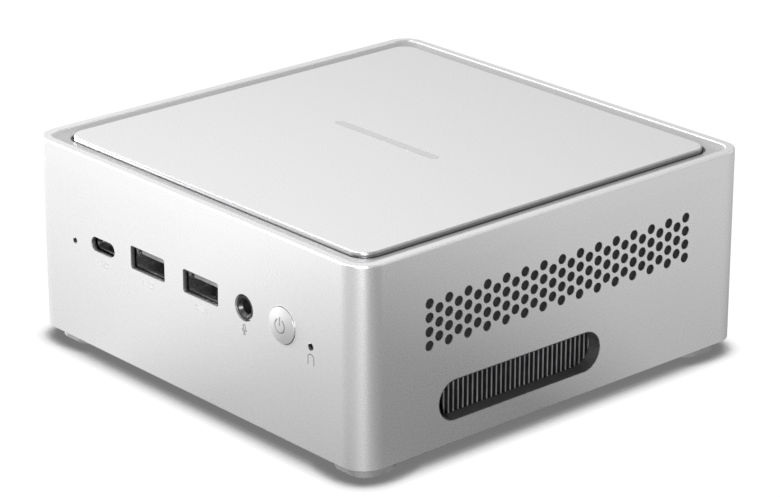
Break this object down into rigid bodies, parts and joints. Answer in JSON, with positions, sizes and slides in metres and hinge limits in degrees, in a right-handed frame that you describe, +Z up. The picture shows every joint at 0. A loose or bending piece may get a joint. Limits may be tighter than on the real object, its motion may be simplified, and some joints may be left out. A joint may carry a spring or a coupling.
{
  "type": "mini computer",
  "caption": "Small square desktop computer with a lift-off lid, cooler, board, memory, drive and front and rear sockets.",
  "frame": {"origin": "middle of the footprint, on the plane the rubber feet stand on", "axes": "+X right along the front, towards the side with the exhaust slot; +Y to the rear; +Z up"},
  "size_m": [0.127, 0.1283, 0.0547],
  "materials": {
    "case": "fine satin silver",
    "button": "satin silver",
    "liner": "fine matt grain",
    "fan_plastic": "smooth matt",
    "dark_plastic": "moulded",
    "button_stem": "moulded",
    "boot": "soft",
    "foot": "soft matt grey",
    "steel": "bright plated",
    "screw": "black oxide",
    "badge": "polished",
    "brass": "turned",
    "gold": "plated",
    "mesh": "woven",
    "board": "solder mask",
    "board_blue": "solder mask",
    "chip": "moulded package",
    "coil": "moulded grey",
    "cell_wrap": "shrink wrap",
    "copper": "plain copper",
    "fins": "bright sheet",
    "flex": "film",
    "lead": "jacket"
  },
  "bodies": {
    "chassis": {"case_rim": "case", "case_front_wall": "case", "case_right_wall": "case", "case_rear_wall": "case", "case_left_wall": "case", "inner_liner": "liner", "base_cover": "liner", "blower_housing": "fan_plastic", "top_fan_frame": "fan_plastic", "lid_catches": "liner", "power_button_guide": "liner", "base_screws": "screw", "inner_screws": "screw", "rubber_feet": "foot", "bracket_inserts": "brass", "dust_filters": "mesh", "push_switches": "dark_plastic", "microphone": "steel", "microphone_boot": "boot", "front_socket_shells": "steel", "rear_socket_shells": "steel", "front_socket_tongues": "dark_plastic", "rear_socket_tongues": "dark_plastic", "audio_jack": "dark_plastic", "rear_contacts": "gold", "power_inlet_shell": "dark_plastic", "mainboard": "board", "memory_modules": "board", "plug_in_cards": "board_blue", "board_chips": "chip", "memory_chips": "chip", "drive_chips": "chip", "board_coils": "coil", "processor": "chip", "coin_cell": "cell_wrap", "cold_plate": "copper", "heat_pipes": "copper", "fin_stack": "fins", "blower_cover": "steel", "blower_motor": "copper", "top_fan_motor": "copper", "memory_socket": "dark_plastic", "card_sockets": "dark_plastic", "card_standoffs": "brass", "radio_shield": "steel", "aerials": "flex", "aerial_leads": "lead", "bridge": "liner"},
    "lid": {"lid": "case", "lid_studs": "steel", "lid_badge": "badge"},
    "power_button": {"power_button": "button"},
    "power_stem": {"power_switch_stem": "button_stem"},
    "reset_stem": {"reset_switch_stem": "button_stem"},
    "blower_rotor": {"blower_rotor": "fan_plastic"},
    "top_fan_rotor": {"top_fan_rotor": "fan_plastic"},
    "lower_front_latch": {"lower_front_memory_latch": "steel"},
    "lower_rear_latch": {"lower_rear_memory_latch": "steel"},
    "upper_front_latch": {"upper_front_memory_latch": "steel"},
    "upper_rear_latch": {"upper_rear_memory_latch": "steel"}
  },
  "joints": [
    {"name": "lid_lift", "type": "slide", "parent": "chassis", "child": "lid", "axis": [0, 0, 1], "range_m": [0, 0.02]},
    {"name": "power_press", "type": "slide", "parent": "chassis", "child": "power_button", "axis": [0, 1, 0], "range_m": [0, 0.0005], "stiffness_N_per_m": 400, "springref_m": -0.002},
    {"name": "power_stem_press", "type": "slide", "parent": "chassis", "child": "power_stem", "axis": [0, 1, 0], "range_m": [0, 0.0005], "stiffness_N_per_m": 100, "springref_m": -0.002},
    {"name": "reset_press", "type": "slide", "parent": "chassis", "child": "reset_stem", "axis": [0, 1, 0], "range_m": [0, 0.0003], "stiffness_N_per_m": 200, "springref_m": -0.002},
    {"name": "blower_spin", "type": "hinge", "parent": "chassis", "child": "blower_rotor", "pos_m": [0.008, -0.013, 0.014], "axis": [0, 0, 1], "continuous": true},
    {"name": "top_fan_spin", "type": "hinge", "parent": "chassis", "child": "top_fan_rotor", "pos_m": [0.016, 0, 0.041], "axis": [0, 0, 1], "continuous": true},
    {"name": "lower_front_latch_swing", "type": "hinge", "parent": "chassis", "child": "lower_front_latch", "pos_m": [-0.0271, -0.03545, 0.0337], "axis": [0, 0, 1], "range_deg": [0, 5], "stiffness_Nm_per_rad": 0.02, "springref_deg": -5.73},
    {"name": "lower_rear_latch_swing", "type": "hinge", "parent": "chassis", "child": "lower_rear_latch", "pos_m": [-0.0271, 0.03545, 0.0337], "axis": [0, 0, -1], "range_deg": [0, 5], "stiffness_Nm_per_rad": 0.02, "springref_deg": -5.73},
    {"name": "upper_front_latch_swing", "type": "hinge", "parent": "chassis", "child": "upper_front_latch", "pos_m": [-0.0271, -0.03545, 0.0377], "axis": [0, 0, 1], "range_deg": [0, 5], "stiffness_Nm_per_rad": 0.02, "springref_deg": -5.73},
    {"name": "upper_rear_latch_swing", "type": "hinge", "parent": "chassis", "child": "upper_rear_latch", "pos_m": [-0.0271, 0.03545, 0.0377], "axis": [0, 0, -1], "range_deg": [0, 5], "stiffness_Nm_per_rad": 0.02, "springref_deg": -5.73}
  ],
  "couplings": [
    {"joint": "power_stem_press", "follows": "power_press", "ratio": 1}
  ]
}
